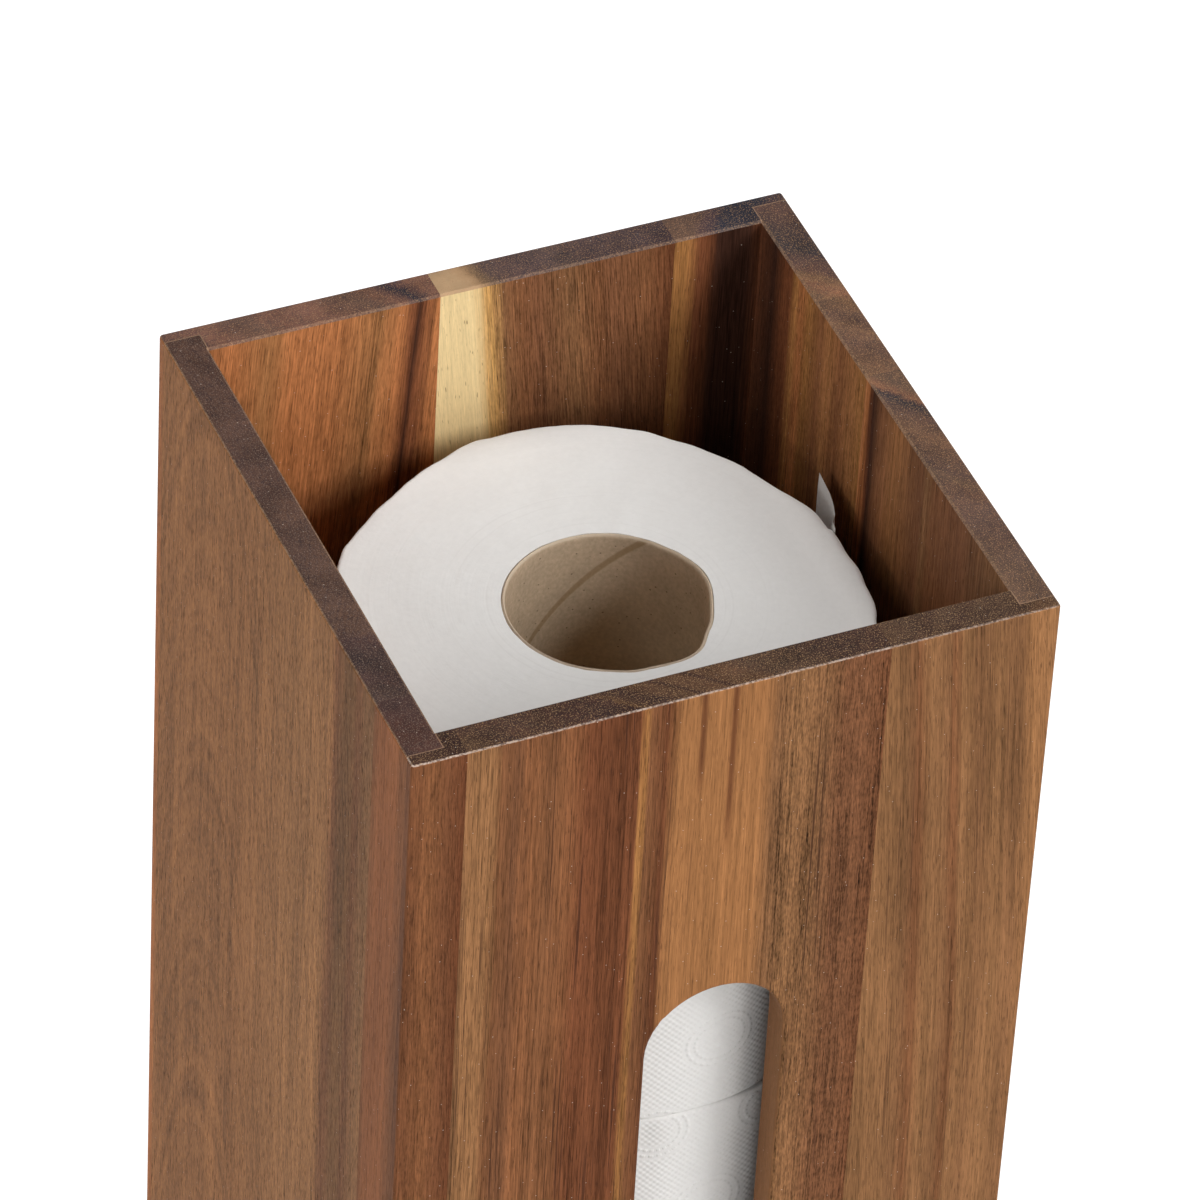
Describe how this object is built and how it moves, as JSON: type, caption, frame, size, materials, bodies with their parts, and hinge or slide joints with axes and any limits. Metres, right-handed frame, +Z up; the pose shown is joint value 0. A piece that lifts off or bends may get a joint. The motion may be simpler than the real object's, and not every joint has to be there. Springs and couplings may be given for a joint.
{
  "type": "toilet roll storage holder",
  "caption": "Tall square open-topped wooden box with a round-ended sight slot down its front, storing a stack of toilet rolls that lift out of the top.",
  "frame": {"origin": "centre of the box in plan, on the surface that its foot pads stand on", "axes": "+Z up the box, -Y out of the front board with the slot, +X to the right seen from the front"},
  "size_m": [0.14, 0.14, 0.436],
  "materials": {
    "acacia": "satin",
    "pad_rubber": "matte",
    "tissue": "matte",
    "core_board": "matte"
  },
  "bodies": {
    "holder": {"front_stave_left": "acacia", "front_stave_middle": "acacia", "front_stave_right": "acacia", "back_stave_left": "acacia", "back_stave_middle": "acacia", "back_stave_right": "acacia", "left_stave_front": "acacia", "left_stave_rear": "acacia", "right_stave_front": "acacia", "right_stave_rear": "acacia", "base_stave_left": "acacia", "base_stave_right": "acacia", "foot_pad_front_left": "pad_rubber", "foot_pad_front_right": "pad_rubber", "foot_pad_rear_left": "pad_rubber", "foot_pad_rear_right": "pad_rubber"},
    "roll_1": {"paper_roll_1": "tissue", "core_tube_1": "core_board"},
    "roll_2": {"paper_roll_2": "tissue", "core_tube_2": "core_board"},
    "roll_3": {"paper_roll_3": "tissue", "core_tube_3": "core_board"},
    "roll_4": {"paper_roll_4": "tissue", "core_tube_4": "core_board"}
  },
  "joints": [
    {"name": "roll_1_lift", "type": "slide", "parent": "holder", "child": "roll_1", "axis": [0, 0, 1], "range_m": [0, 0.45]},
    {"name": "roll_2_lift", "type": "slide", "parent": "roll_1", "child": "roll_2", "axis": [0, 0, 1], "range_m": [0, 0.35]},
    {"name": "roll_3_lift", "type": "slide", "parent": "roll_2", "child": "roll_3", "axis": [0, 0, 1], "range_m": [0, 0.25]},
    {"name": "roll_4_lift", "type": "slide", "parent": "roll_3", "child": "roll_4", "axis": [0, 0, 1], "range_m": [0, 0.15]}
  ]
}
